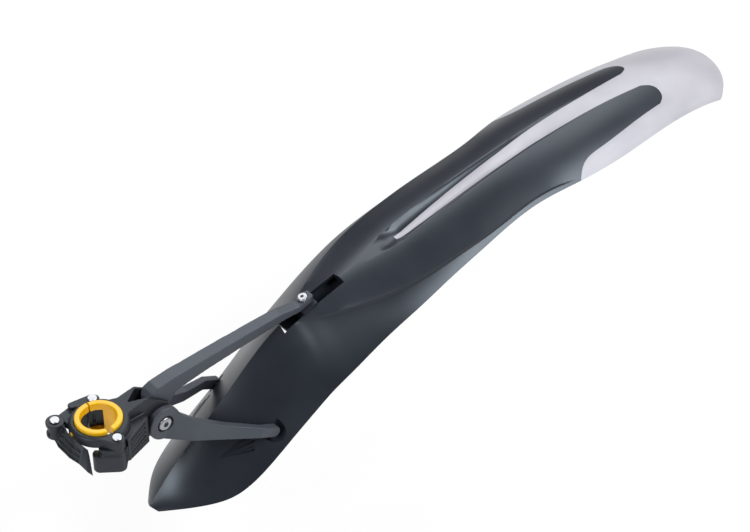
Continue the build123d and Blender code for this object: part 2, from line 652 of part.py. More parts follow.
# Plan of the black moulding behind the finger roots
fingers = []
for side in (-1, 1):
    inner_edge = Spline(*[(x, side * y) for x, y in STRIP_EDGE])
    tip = Spline(*[(x, side * y) for x, y in FINGER_TIP])
    outer_edge = Spline(*[(x, side * y) for x, y in FINGER_SIDE])
    front_y = side * FINGER_SIDE[-1][1]
    back = Polyline(
        (FINGER_SIDE[-1][0], front_y),
        (STRIP_EDGE[0][0], front_y),
        (STRIP_EDGE[0][0], side * STRIP_EDGE[0][1]),
    )
    finger = make_face([inner_edge, tip, outer_edge, back])
    fingers.append(Pos(0, 0, -2 * FAR) * extrude(finger, 4 * FAR))
black = plan_block([(-FAR, -FAR), (STRIP_EDGE[0][0], -FAR), (STRIP_EDGE[0][0], FAR), (-FAR, FAR)], -2 * FAR, FAR)
black += fingers[0]
black += fingers[1]
tail_flap = skin - black
save(tail_flap, "tail_flap")

# Levels of the slider and the nut plate, square to the crown at the bolt's station
bolt_station = station_at(BOLT_X)
half, drop, crest, groove = STATIONS[bolt_station][2:]
bolt_plane = station_plane(bolt_station)
run = tangent(bolt_station)
rim_z = -depth_at(SLOT_HALF / half, drop, crest)
rim_slope = drop / half * (1 - crest + 2 * crest * SLOT_HALF / half)
skin_z = WALL * sqrt(1 + rim_slope**2)
ledge_z = rim_z + SLIDER_CLEAR
ledge_top = ledge_z + LEDGE_T
neck_half = SLOT_HALF - SLIDER_CLEAR
neck_foot = rim_z - skin_z - SLIDER_CLEAR
ledge_edge_z = ledge_z - (LEDGE_HALF - SLOT_HALF) * rim_slope
plate_edge_z = neck_foot - (NUT_PLATE_HALF - neck_half) * rim_slope
plate_foot = plate_edge_z - NUT_PLATE_T


def along_crown(points, length):
    """Bar along the crown at the bolt, from a plan of half-section points mirrored across."""
    outline = points + flip(list(reversed(points)))
    face = bolt_plane * make_face(Polyline(*outline, close=True))
    return extrude(face, length / 2, both=True)


def bolt_post(radius, low, high):
    """Round post square to the crown at the bolt."""
    post = Cylinder(radius, high - low, align=(Align.CENTER, Align.CENTER, Align.MIN))
    return bolt_plane * Rot(-90, 0, 0) * Pos(0, 0, low) * post


# Flank sockets: a cup inside each flank, open to the outside, with the arm's tip in it
floor_out = ARM_TIP_Y - SIDE_CLEAR
floor_in = floor_out - SOCKET_FLOOR_T
cup_r = SOCKET_R + SOCKET_RIM
first, last = [station_at(x) for x in BOW_REACH]
bow = loft([full_face(number) for number in range(first, last)])
blade = skin & black
for side in (-1, 1):
    ends = sorted((side * floor_in, side * FAR))
    blade += cross(SOCKET_X, SOCKET_Z, cup_r, *ends) & bow
    ends = sorted((side * floor_in, side * floor_out))
    blade += cross(SOCKET_X, SOCKET_Z, cup_r, *ends)
    ends = sorted((side * floor_out, side * FAR))
    blade -= cross(SOCKET_X, SOCKET_Z, SOCKET_R, *ends)
    ends = sorted((0, side * FAR))
    blade -= cross(SOCKET_X, SOCKET_Z, SCREW_D / 2 + PIN_CLEAR, *ends)
    ends = sorted((side * (floor_in - 2 * SCREW_HEAD_H), side * floor_in))
    blade -= cross(SOCKET_X, SOCKET_Z, SCREW_HEAD_D / 2 + SWING_CLEAR, *ends)

# Channel under the slot, open in front, in which the nut plate slides
channel_half = NUT_PLATE_HALF + CHANNEL_SIDE
channel_floor = plate_foot - CHANNEL_ROOM
channel_long = CHANNEL_FRONT + CHANNEL_REAR
channel_middle = (CHANNEL_REAR - CHANNEL_FRONT) / 2
trough = along_crown(
    [(channel_half + CHANNEL_WALL, 0), (channel_half + CHANNEL_WALL, channel_floor - CHANNEL_WALL)],
    channel_long,
)
room = along_crown([(channel_half, FAR), (channel_half, channel_floor)], channel_long)
trough = Pos(run * channel_middle) * trough - Pos(run * (channel_middle - CHANNEL_WALL)) * room
blade += trough & Pos(0, 0, -WALL / 4) * bow
save(blade, "blade")

# Screws from inside the flanks into the arms' tips
screws = []
for side in (-1, 1):
    shank_ends = sorted((side * (floor_in - SIDE_CLEAR), side * (ARM_TIP_Y + ARM_T_TIP - SCREW_LEFT)))
    head_ends = sorted((side * (floor_in - SIDE_CLEAR), side * (floor_in - SIDE_CLEAR - SCREW_HEAD_H)))
    screw = cross(SOCKET_X, SOCKET_Z, SCREW_D / 2, *shank_ends)
    screw += cross(SOCKET_X, SOCKET_Z, SCREW_HEAD_D / 2, *head_ends)
    screws.append(screw)
save(Compound(children=screws), "socket_screws")

# Slider, nut plate and bolt at the end of the top arm
slider = along_crown(
    [
        (neck_half, neck_foot),
        (neck_half, ledge_z),
        (SLOT_HALF, ledge_z),
        (LEDGE_HALF, ledge_edge_z),
        (LEDGE_HALF, ledge_top),
    ],
    SLIDER_LONG,
)
slider -= bolt_post(SLOT_BOLT_D / 2 + PIN_CLEAR, -FAR, FAR)
save(slider, "slot_slider")
plate = along_crown(
    [(neck_half, neck_foot), (NUT_PLATE_HALF, plate_edge_z), (NUT_PLATE_HALF, plate_foot)],
    NUT_PLATE_LONG,
)
plate -= bolt_post(SLOT_BOLT_D / 2, -FAR, FAR)
save(plate, "slot_nut_plate")
end_top = ledge_top + ARM_END_T
slot_bolt = bolt_post(SLOT_BOLT_D / 2, plate_foot, end_top)
slot_head = bolt_post(SLOT_HEAD_D / 2, end_top, end_top + SLOT_HEAD_H)
slot_head = fillet(slot_head.edges().filter_by(GeomType.CIRCLE).sort_by(Axis.Z)[-1], SLOT_HEAD_H / 2.5)
recess = extrude(RegularPolygon(SLOT_SOCKET_D / 2, 6), SLOT_HEAD_H * 0.6)
slot_head -= bolt_plane * Rot(-90, 0, 0) * Pos(0, 0, end_top + SLOT_HEAD_H * 0.4) * recess
save(slot_bolt + slot_head, "slot_bolt")

# Top arm: leg in the fork, elbow, then a tapering bar to its end on the slider
up = Vector(-run.Z, 0, run.X)
seat = bolt_plane.origin + up * ledge_top
crown = bolt_plane.origin + up * end_top
tip_low = seat + run * ARM_END_LONG
tip_high = crown + run * ARM_END_LONG
heel_low = seat - run * ARM_END_LONG
heel_high = crown - run * ARM_END_LONG
leg_front = ELBOW[0][0]
leg_rear = 2 * PIVOT_X - leg_front
outline = ELBOW + [(x, top) for x, low, top in ARM_SIDE]
outline += [(heel_high.X, heel_high.Z), (tip_high.X, tip_high.Z)]
outline += [(tip_low.X, tip_low.Z), (heel_low.X, heel_low.Z)]
outline += [(x, low) for x, low, top in reversed(ARM_SIDE)]
outline += [(leg_rear, PIVOT_Z), (leg_front, PIVOT_Z)]
top_arm = side_block(outline, -LEG_HALF, LEG_HALF)
top_arm += cross(PIVOT_X, PIVOT_Z, LEG_R, -LEG_HALF, LEG_HALF)
nose = (leg_front + LEG_HALF, 0)
toe = (tip_low.X - ARM_END_W / 2, 0)
top_arm = top_arm & link_bar(nose, LEG_HALF, toe, ARM_END_W / 2, -FAR, FAR)
top_arm -= cross(PIVOT_X, PIVOT_Z, BOLT_D / 2 + PIN_CLEAR, -FAR, FAR)
top_arm -= bolt_post(SLOT_BOLT_D / 2 + PIN_CLEAR, -FAR, FAR)
save(top_arm, "top_arm")
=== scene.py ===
import json
from math import cos, pi, radians, sin

import bmesh
import bpy
import numpy as np
from mathutils import Matrix, Vector


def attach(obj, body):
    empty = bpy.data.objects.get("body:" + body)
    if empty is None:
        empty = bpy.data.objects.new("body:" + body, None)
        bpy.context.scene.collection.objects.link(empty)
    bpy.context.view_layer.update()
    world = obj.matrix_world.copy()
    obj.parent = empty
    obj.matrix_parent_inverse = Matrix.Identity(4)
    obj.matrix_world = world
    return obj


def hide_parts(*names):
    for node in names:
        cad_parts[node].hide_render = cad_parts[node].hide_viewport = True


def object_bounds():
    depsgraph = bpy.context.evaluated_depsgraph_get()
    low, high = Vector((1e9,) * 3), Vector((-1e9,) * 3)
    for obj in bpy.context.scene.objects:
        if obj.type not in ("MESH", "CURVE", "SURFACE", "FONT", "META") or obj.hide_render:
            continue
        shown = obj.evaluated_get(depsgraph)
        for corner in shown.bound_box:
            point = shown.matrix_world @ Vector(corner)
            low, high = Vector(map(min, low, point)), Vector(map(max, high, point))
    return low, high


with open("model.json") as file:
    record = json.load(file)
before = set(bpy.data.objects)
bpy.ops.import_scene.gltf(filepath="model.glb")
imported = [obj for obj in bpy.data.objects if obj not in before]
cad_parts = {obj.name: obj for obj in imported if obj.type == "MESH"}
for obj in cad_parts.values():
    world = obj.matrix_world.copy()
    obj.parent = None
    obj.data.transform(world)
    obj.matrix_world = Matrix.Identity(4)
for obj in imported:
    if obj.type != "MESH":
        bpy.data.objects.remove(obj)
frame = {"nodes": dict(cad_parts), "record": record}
cad_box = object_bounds()

# Sizes below are in millimetres, in the frame of the CAD model. Meshes are made in metres.
MM = 0.001

# Blade stations from the bow to the tail: ridge x, ridge z, half width, drop of the edge
# below the ridge, crest (0 straight flanks, 1 round)
STATIONS = [
    (35.6, -96.9, 6.4, 4.4, 0.2),
    (44.3, -87.3, 20.7, 11.6, 0.4),
    (58.5, -72.9, 35.3, 26.0, 0.45),
    (76.0, -57.6, 41.2, 34.2, 0.45),
    (105.0, -35.2, 42.8, 38.3, 0.38),
    (132.0, -12.4, 44.2, 41.6, 0.32),
    (152.0, 1.3, 45.3, 41.5, 0.36),
    (183.0, 12.3, 47.0, 37.4, 0.5),
    (215.0, 19.0, 48.5, 28.7, 0.75),
    (248.0, 26.0, 49.8, 22.8, 0.9),
    (276.0, 32.0, 48.7, 20.2, 1.0),
    (310.0, 39.0, 46.7, 19.2, 1.0),
    (373.0, 49.2, 44.4, 17.8, 1.0),
    (409.0, 53.2, 48.7, 18.3, 1.0),
    (460.0, 55.7, 49.6, 18.9, 1.0),
    (505.0, 55.2, 46.6, 17.0, 1.0),
    (552.0, 51.2, 44.1, 16.3, 1.0),
    (580.0, 45.2, 44.0, 15.6, 1.0),
    (604.0, 36.7, 43.0, 15.1, 1.0),
]
BOLT_STATION = 7  # row of STATIONS at the slot bolt
WALL = 2.5
BOX_INSET = 0.02  # the skin stays this far inside the CAD box

# Centre groove along x: depth and half width
GROOVE_DEPTH = [(236, 0), (250, 0.6), (262, 3.2), (275, 6.0), (310, 5.6), (373, 4.0)]
GROOVE_DEPTH += [(409, 2.2), (460, 0.7), (500, 0)]
GROOVE_HALF = [(236, 4.0), (250, 6.0), (262, 8.0), (280, 9.4), (373, 8.8), (460, 9.6), (500, 9.6)]

# Lower edge of the raised upper shell in plan, how far the flank lies below it and how far the shell rises
STEP_EDGE = [(171, 5.7), (200, 19.7), (243.5, 35.3), (296.5, 41.3), (336, 41.6), (377, 41.2), (412, 46.9)]
STEP_HEIGHT = [(168, 0), (176, 0.9), (190, 1.4), (205, 1.2), (220, 0.9), (260, 0.4), (300, 0)]
STEP_WALL = 0.5
SHELL_RAISE = [(168, 0), (184, 0.1), (195, 0.9), (205, 2.0), (240, 2.8), (300, 2.3)]
SHELL_RAISE += [(350, 1.8), (385, 1.4), (412, 0)]
STEP_SHARES = (0.12, 0.965)  # least and greatest place of the step, as shares of the half width
STEP_BEYOND = 99.0  # past the shell's rear end the step is off the blade
SAME_PLACE = 1e-6

# Mesh of the blade
ROW_STEP = 2.0
FINE_STEP = 1.0
FINE_ROWS = (232.0, 292.0)
SHELL_COLUMNS = 40
FLANK_COLUMNS = 26
SLOPE_STEP = 0.5
SKIN_PLACES = 4000
CURVE_POINTS = 40
ROUND_SIDES = 48
SHARP_ANGLE = 32

# Slot, its channel under the crown, the tail's end and the translucent moulding in plan
SLOT_X = (159.5, 215.6)
SLOT_HALF = 6.0
CHANNEL_RUN = (-20.0, 37.0)
CHANNEL_IN = 10.4
CHANNEL_FLOOR = -13.16
CHANNEL_T = 2.0
TAIL_END = [(596.8, 0.0), (594.4, 17.0), (586.0, 32.0), (568.0, 45.5)]
STRIP_EDGE = [(270.0, 2.0), (324.0, 4.5), (376.0, 5.9), (421.0, 7.5), (465.0, 8.3), (513.0, 10.4)]
FINGER_TIP = [(513.0, 10.4), (522.5, 17.0), (522.0, 25.0), (515.0, 30.6)]
FINGER_SIDE = [(515.0, 30.6), (490.0, 33.0), (443.0, 37.6), (422.0, 41.4), (411.0, 50.0)]
BOW_BLOCK_X = (58.5, 276.0)
FAR = 80.0

# Flank sockets and the flutes that lead to them
SOCKET_X = 124.5
SOCKET_Z = -53.2
SOCKET_R = 8.4
CUP_R = 10.4
CUP_FLOOR = (26.7, 30.3)
SCREW_R = 2.05
FLUTE_POINT = (84.6, 19.5)
FLUTE_ENDS = [(108.5, 31.0), (111.0, 28.2), (113.0, 25.4)]
FLUTE_R = 1.7
FLUTE_POINT_R = 0.05


def spline(knots, values, at):
    """Natural cubic spline through the values at the knots."""
    knots = np.asarray(knots, float)
    values = np.asarray(values, float)
    gaps = np.diff(knots)
    slopes = np.diff(values) / gaps
    matrix = np.eye(len(knots))
    right = np.zeros(len(knots))
    for i in range(1, len(knots) - 1):
        matrix[i, i - 1:i + 2] = gaps[i - 1], 2 * (gaps[i - 1] + gaps[i]), gaps[i]
        right[i] = 6 * (slopes[i] - slopes[i - 1])
    bend = np.linalg.solve(matrix, right)
    i = np.clip(np.searchsorted(knots, at) - 1, 0, len(knots) - 2)
    gap = gaps[i]
    after = at - knots[i]
    before = knots[i + 1] - at
    curved = (bend[i] * before**3 + bend[i + 1] * after**3) / (6 * gap)
    straight = (values[i] / gap - bend[i] * gap / 6) * before
    straight_after = (values[i + 1] / gap - bend[i + 1] * gap / 6) * after
    return curved + straight + straight_after


def smooth_table(table, at):
    """Values of a short table, with soft corners, held level past its ends."""
    knots = np.array([row[0] for row in table], float)
    values = np.array([row[1] for row in table], float)
    i = np.clip(np.searchsorted(knots, at) - 1, 0, len(knots) - 2)
    share = np.clip((at - knots[i]) / (knots[i + 1] - knots[i]), 0, 1)
    share = share * share * (3 - 2 * share) * 0.5 + share * 0.5
    return values[i] + (values[i + 1] - values[i]) * share


def curve(points):
    """Smooth plan curve through the points."""
    points = np.asarray(points, float)
    run = np.concatenate([[0], np.cumsum(np.hypot(*np.diff(points, axis=0).T))])
    at = np.linspace(0, run[-1], CURVE_POINTS)
    return list(zip(spline(run, points[:, 0], at), spline(run, points[:, 1], at)))


# Pieces and their booleans


def new_piece(name, mesh):
    piece = bpy.data.objects.new(name, mesh)
    bpy.context.scene.collection.objects.link(piece)
    return piece


def closed_piece(name, points, faces):
    """Closed mesh from points in millimetres, with its faces turned outwards."""
    mesh = bpy.data.meshes.new(name)
    mesh.from_pydata([(x * MM, y * MM, z * MM) for x, y, z in points], [], faces)
    work = bmesh.new()
    work.from_mesh(mesh)
    bmesh.ops.recalc_face_normals(work, faces=work.faces)
    work.to_mesh(mesh)
    work.free()
    return new_piece(name, mesh)


def settle(piece):
    """The piece's modifiers go into its mesh."""
    graph = bpy.context.evaluated_depsgraph_get()
    mesh = bpy.data.meshes.new_from_object(piece.evaluated_get(graph))
    piece.modifiers.clear()
    piece.data = mesh


def combine(piece, tool, operation):
    """UNION, DIFFERENCE or INTERSECT of two closed pieces, which uses the tool up."""
    step = piece.modifiers.new("combine", "BOOLEAN")
    step.object = tool
    step.operation = operation
    step.solver = "MANIFOLD"
    settle(piece)
    bpy.data.objects.remove(tool)


def copy_of(piece):
    return new_piece(piece.name + "_copy", piece.data.copy())


def prism(points, low, high):
    """Upright prism with a plan outline."""
    count = len(points)
    corners = [(x, y, low) for x, y in points] + [(x, y, high) for x, y in points]
    faces = [list(range(count)), list(range(count, 2 * count))]
    faces += [(i, (i + 1) % count, (i + 1) % count + count, i + count) for i in range(count)]
    return closed_piece("prism", corners, faces)


def tapered(start, start_r, end, end_r):
    """Round bar or cone between two points."""
    start = Vector(start)
    end = Vector(end)
    turn = (end - start).to_track_quat("Z", "X").to_matrix()
    sides = ROUND_SIDES
    points = []
    for centre, radius in ((start, start_r), (end, end_r)):
        for i in range(sides):
            angle = 2 * pi * i / sides
            points.append(centre + turn @ Vector((radius * cos(angle), radius * sin(angle), 0)))
    faces = [list(range(sides)), list(range(sides, 2 * sides))]
    faces += [(i, (i + 1) % sides, (i + 1) % sides + sides, i + sides) for i in range(sides)]
    return closed_piece("bar", points, faces)


def smooth_shade(piece):
    piece.data.shade_smooth()
    piece.data.set_sharp_from_angle(angle=radians(SHARP_ANGLE))


# Blade surface

stations = np.array(STATIONS)
station_run = np.concatenate([[0], np.cumsum(np.hypot(*np.diff(stations[:, :2], axis=0).T))])


def along(column, run):
    return spline(station_run, stations[:, column], run)


def ridge_frame(run):
    """Ridge point and the upward direction square to the ridge, in the XZ plane."""
    low = np.clip(run - SLOPE_STEP, 0, station_run[-1])
    high = np.clip(run + SLOPE_STEP, 0, station_run[-1])
    dx = along(0, high) - along(0, low)
    dz = along(1, high) - along(1, low)
    size = np.hypot(dx, dz)
    return along(0, run), along(1, run), -dz / size, dx / size


def depth_and_slope(run, across):
    """Depth of the smooth outer skin below the ridge and its slope, at a distance from the centre."""
    half, drop, crest = along(2, run), along(3, run), along(4, run)
    share = across / half
    depth = drop * ((1 - crest) * share + crest * share**2)
    return depth, drop / half * (1 - crest + 2 * crest * share)


def crown_point(run, across, depth):
    """Point at a depth below the ridge, square to it, at a signed distance across."""
    x, z, up_x, up_z = ridge_frame(run)
    return np.stack([x - depth * up_x, across + 0 * x, z - depth * up_z], axis=-1)


def step_across(run):
    """Distance of the shell's lower edge from the centre at each row, kept inside the blade."""
    half = along(2, run)
    least, greatest = STEP_SHARES
    across = least * half
    for attempt in range(4):
        depth = depth_and_slope(run, across)[0]
        place = crown_point(run, across, depth)[..., 0]
        across = np.clip(smooth_step_edge(place), least * half, greatest * half)
    return across


def smooth_step_edge(x):
    knots = [row[0] for row in STEP_EDGE]
    values = [row[1] for row in STEP_EDGE]
    inside = spline(knots, values, np.clip(x, knots[0], knots[-1]))
    return np.where(x < knots[0], 0, np.where(x > knots[-1], STEP_BEYOND, inside))


def row_runs():
    """Places of the rows along the ridge, closer where the groove begins."""
    runs = [0.0]
    while runs[-1] < station_run[-1]:
        fine = FINE_ROWS[0] < along(0, np.array([runs[-1]]))[0] < FINE_ROWS[1]
        runs.append(runs[-1] + (FINE_STEP if fine else ROW_STEP))
    runs[-1] = station_run[-1]
    return np.array(runs)


def half_columns(run):
    """Distances from the centre of one half's columns: the shell, the step's wall, then the flank."""
    half = along(2, run)
    step = step_across(run)
    shell = [step * share for share in np.linspace(0, 1, SHELL_COLUMNS)]
    foot = step + np.minimum(STEP_WALL, (half - step) / 3)
    flank = [foot + (half - foot) * share for share in np.linspace(0, 1, FLANK_COLUMNS)]
    return np.stack(shell + flank, axis=1)


def skin_points(run, columns):
    """Outer and inner points of the right half, with the groove and the step."""
    run = run[:, None]
    half = along(2, run)
    step = step_across(run)
    depth, slope = depth_and_slope(run, columns)
    place = crown_point(run, columns, depth)[..., 0]
    groove_half = smooth_table(GROOVE_HALF, place)
    groove = smooth_table(GROOVE_DEPTH, place) * np.clip(1 - (columns / groove_half) ** 2, 0, 1)
    on_shell = columns < step + SAME_PLACE
    rise = smooth_table(SHELL_RAISE, place) * np.clip(columns / step, 0, 1) ** 4 * on_shell
    down = np.clip((columns - step) / (half - step), 0, 1)
    on_flank = columns > step + SAME_PLACE
    fall = smooth_table(STEP_HEIGHT, place) * on_flank * (1 - down) ** 1.5
    outer = crown_point(run, columns, depth + groove + (fall - rise) * np.sqrt(1 + slope**2))
    end_slope = depth_and_slope(run, half)[1]
    lip = WALL * np.sqrt(1 + 1 / end_slope**2)
    inner_columns = columns * (half - lip) / half
    inner_depth, inner_slope = depth_and_slope(run, inner_columns)
    wall = WALL * np.sqrt(1 + inner_slope**2)
    inner = crown_point(run, inner_columns, inner_depth + groove + wall)
    return outer, inner


def grid_faces(rows, columns, start):
    faces = []
    for r in range(rows - 1):
        for c in range(columns - 1):
            corner = start + r * columns + c
            faces.append((corner, corner + columns, corner + columns + 1, corner + 1))
    return faces


def both_halves(points):
    left = points[:, :0:-1].copy()
    left[..., 1] *= -1
    return np.concatenate([left, points], axis=1)


def make_skin():
    """The whole thin blade as one closed mesh, before its openings."""
    run = row_runs()
    outer, inner = skin_points(run, half_columns(run))
    outer = both_halves(outer)
    inner = both_halves(inner)
    rows, columns = outer.shape[:2]
    count = rows * columns
    faces = grid_faces(rows, columns, 0)
    faces += [tuple(reversed(face)) for face in grid_faces(rows, columns, count)]
    for r in range(rows - 1):
        for c in (0, columns - 1):
            corner = r * columns + c
            faces.append((corner, corner + columns, corner + columns + count, corner + count))
    for r in (0, rows - 1):
        for c in range(columns - 1):
            corner = r * columns + c
            faces.append((corner, corner + 1, corner + 1 + count, corner + count))
    points = np.concatenate([outer.reshape(-1, 3), inner.reshape(-1, 3)])
    box_low = np.array(cad_box[0]) / MM + BOX_INSET
    box_high = np.array(cad_box[1]) / MM - BOX_INSET
    points = np.clip(points, box_low, box_high)
    return closed_piece("skin", points, faces)


def make_bow_block(low, high):
    """Solid under the outer skin between two ridge x values, to trim the socket cups."""
    run = row_runs()
    x = along(0, run)
    run = run[(x > low) & (x < high)]
    outer = both_halves(skin_points(run, half_columns(run))[0])
    rows, columns = outer.shape[:2]
    faces = grid_faces(rows, columns, 0)
    for r in range(rows - 1):
        corner = r * columns
        faces.append((corner, corner + columns, corner + 2 * columns - 1, corner + columns - 1))
    faces.append(list(range(columns)))
    faces.append(list(range((rows - 1) * columns, rows * columns)))
    return closed_piece("bow_block", outer.reshape(-1, 3), faces)


def skin_at(x, across):
    """Point of the outer skin at a plan place ahead of the shell."""
    run = np.linspace(0, station_run[-1], SKIN_PLACES)
    depth = depth_and_slope(run, abs(across))[0]
    places = crown_point(run, across, depth)
    return Vector(places[np.argmin(np.abs(places[:, 0] - x))])


def mirrored(points):
    return [(x, -y) for x, y in points]


def channel_bar(half, low, high, shift=0.0):
    """Bar along the crown under the slot, from its floor to its top."""
    run = station_run[BOLT_STATION]
    x, z, up_x, up_z = (float(v) for v in ridge_frame(np.array(run)))
    points = []
    for side in (-half, half):
        for level in (low, high):
            for end in CHANNEL_RUN:
                place = end + shift
                points.append((x + place * up_z + level * up_x, side, z - place * up_x + level * up_z))
    faces = [(0, 1, 3, 2), (4, 5, 7, 6), (0, 1, 5, 4), (2, 3, 7, 6), (0, 2, 6, 4), (1, 3, 7, 5)]
    return closed_piece("channel", points, faces)


def flank_bar(side, start_y, radius):
    """Round bar along the socket's line, from a distance off centre outwards."""
    start = (SOCKET_X, side * start_y, SOCKET_Z)
    return tapered(start, radius, (SOCKET_X, side * FAR, SOCKET_Z), radius)


def make_blade_and_tail():
    """The black moulding with its openings, and the translucent one that ends it."""
    skin = make_skin()
    end = curve(TAIL_END)
    beyond = TAIL_END[0][0] + FAR
    outline = end + [(end[-1][0], FAR), (beyond, FAR), (beyond, -FAR), (end[-1][0], -FAR)]
    outline += list(reversed(mirrored(end)))[:-1]
    combine(skin, prism(outline, -2 * FAR, 2 * FAR), "DIFFERENCE")
    side = curve(FINGER_SIDE)
    edge = curve(STRIP_EDGE) + curve(FINGER_TIP)[1:] + side[1:]
    right = edge + [(side[-1][0], FAR), (-FAR, FAR)]
    black = prism(list(reversed(mirrored(right))) + right, -2 * FAR, 2 * FAR)
    tail = copy_of(skin)
    combine(tail, copy_of(black), "DIFFERENCE")
    combine(skin, black, "INTERSECT")
    slot_corners = [(x, y) for y in (-SLOT_HALF, SLOT_HALF) for x in SLOT_X]
    slot = [slot_corners[i] for i in (0, 1, 3, 2)]
    combine(skin, prism(slot, -FAR, FAR), "DIFFERENCE")
    cups = make_bow_block(*BOW_BLOCK_X)
    channel_roof = copy_of(cups)
    channel_roof.data.transform(Matrix.Translation((0, 0, -WALL / 4 * MM)))
    cup_bars = []
    for side in (-1, 1):
        cup_bars.append(flank_bar(side, CUP_FLOOR[0], CUP_R))
    combine(cup_bars[0], cup_bars[1], "UNION")
    combine(cups, cup_bars[0], "INTERSECT")
    combine(skin, cups, "UNION")
    channel = channel_bar(CHANNEL_IN + CHANNEL_T, CHANNEL_FLOOR - CHANNEL_T, 0)
    combine(channel, channel_bar(CHANNEL_IN, CHANNEL_FLOOR, FAR, -CHANNEL_T), "DIFFERENCE")
    combine(channel, channel_roof, "INTERSECT")
    combine(skin, channel, "UNION")
    for side in (-1, 1):
        combine(skin, flank_bar(side, CUP_FLOOR[1], SOCKET_R), "DIFFERENCE")
        combine(skin, flank_bar(side, 0, SCREW_R), "DIFFERENCE")
        point = skin_at(FLUTE_POINT[0], side * FLUTE_POINT[1])
        for x, y in FLUTE_ENDS:
            combine(skin, tapered(point, FLUTE_POINT_R, skin_at(x, side * y), FLUTE_R), "DIFFERENCE")
    return skin, tail


# Materials
TONE_ENDS = (0.35, 0.65)
SPECULAR_TINT = (0.80, 0.90, 1.0, 1)


def add_node(tree, kind, **inputs):
    made = tree.nodes.new(kind)
    for name, value in inputs.items():
        made.inputs[name.replace("_", " ")].default_value = value
    return made


def new_material(name):
    material = bpy.data.materials.new(name)
    material.use_nodes = True
    tree = material.node_tree
    shader = tree.nodes["Principled BSDF"]
    shader.inputs["Specular Tint"].default_value = SPECULAR_TINT
    place = tree.nodes.new("ShaderNodeTexCoord")
    return material, tree, shader, place.outputs["Object"]


def tone(tree, place, scale, first, second):
    """Slow change between two colours over the surface."""
    noise = add_node(tree, "ShaderNodeTexNoise", Scale=scale, Detail=3.0, Roughness=0.5)
    tree.links.new(place, noise.inputs["Vector"])
    ramp = tree.nodes.new("ShaderNodeValToRGB")
    ramp.color_ramp.elements[0].position = TONE_ENDS[0]
    ramp.color_ramp.elements[0].color = (*first, 1)
    ramp.color_ramp.elements[1].position = TONE_ENDS[1]
    ramp.color_ramp.elements[1].color = (*second, 1)
    tree.links.new(noise.outputs["Fac"], ramp.inputs["Fac"])
    return ramp.outputs["Color"], noise.outputs["Fac"]


def spread(tree, factor, low, high):
    """A factor brought into a range."""
    made = add_node(tree, "ShaderNodeMapRange", From_Min=0.3, From_Max=0.7, To_Min=low, To_Max=high)
    tree.links.new(factor, made.inputs["Value"])
    return made.outputs["Result"]


def grain(tree, shader, place, scale, depth):
    """Fine moulded texture."""
    noise = add_node(tree, "ShaderNodeTexNoise", Scale=scale, Detail=2.0)
    tree.links.new(place, noise.inputs["Vector"])
    bump = add_node(tree, "ShaderNodeBump", Strength=0.35, Distance=depth * MM)
    tree.links.new(noise.outputs["Fac"], bump.inputs["Height"])
    tree.links.new(bump.outputs["Normal"], shader.inputs["Normal"])


def plastic(name, first, second, rough, scale, depth):
    material, tree, shader, place = new_material(name)
    colour, factor = tone(tree, place, 16, first, second)
    tree.links.new(colour, shader.inputs["Base Color"])
    tree.links.new(spread(tree, factor, *rough), shader.inputs["Roughness"])
    grain(tree, shader, place, scale, depth)
    return material


def steel(name, rough):
    material, tree, shader, place = new_material(name)
    colour, factor = tone(tree, place, 300, (0.34, 0.35, 0.37), (0.48, 0.49, 0.51))
    tree.links.new(colour, shader.inputs["Base Color"])
    tree.links.new(spread(tree, factor, *rough), shader.inputs["Roughness"])
    shader.inputs["Metallic"].default_value = 1.0
    grain(tree, shader, place, 1500, 0.01)
    return material


def frosted(name):
    material, tree, shader, place = new_material(name)
    colour, factor = tone(tree, place, 22, (0.48, 0.47, 0.515), (0.56, 0.55, 0.59))
    tree.links.new(colour, shader.inputs["Base Color"])
    tree.links.new(spread(tree, factor, 0.34, 0.44), shader.inputs["Roughness"])
    shader.inputs["Transmission Weight"].default_value = 0.3
    shader.inputs["IOR"].default_value = 1.45
    grain(tree, shader, place, 1200, 0.02)
    return material


blade_black = plastic("blade_black", (0.012, 0.014, 0.020), (0.017, 0.020, 0.027), (0.30, 0.38), 1800, 0.03)
clamp_black = plastic("clamp_black", (0.008, 0.009, 0.012), (0.013, 0.014, 0.018), (0.44, 0.54), 1300, 0.05)
arm_grey = plastic("arm_grey", (0.040, 0.045, 0.056), (0.054, 0.060, 0.072), (0.42, 0.52), 1300, 0.05)
yellow_rubber = plastic("yellow_rubber", (0.78, 0.43, 0.0), (0.88, 0.51, 0.002), (0.30, 0.42), 900, 0.04)
bright_steel = steel("bright_steel", (0.36, 0.48))
dull_steel = steel("dull_steel", (0.34, 0.48))
frosted_tail = frosted("frosted_tail")


def paint(piece, material):
    piece.data.materials.clear()
    piece.data.materials.append(material)


body_of = {node: body for body, nodes in frame["record"]["behaviour"]["bodies"].items() for node in nodes}


def dress(piece, node, material):
    """The piece stands for a CAD node: it rides on the node's body and takes its finish."""
    paint(piece, material)
    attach(piece, body_of[node])
    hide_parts(node)


# Blade and tail

blade_piece, tail_piece = make_blade_and_tail()
blade_piece.name = "blade_moulding"
tail_piece.name = "tail_moulding"
smooth_shade(blade_piece)
smooth_shade(tail_piece)
dress(blade_piece, "blade", blade_black)
dress(tail_piece, "tail_flap", frosted_tail)


# Plastic pieces of the clamp and bracket: the CAD solids with the soft edges of a moulding


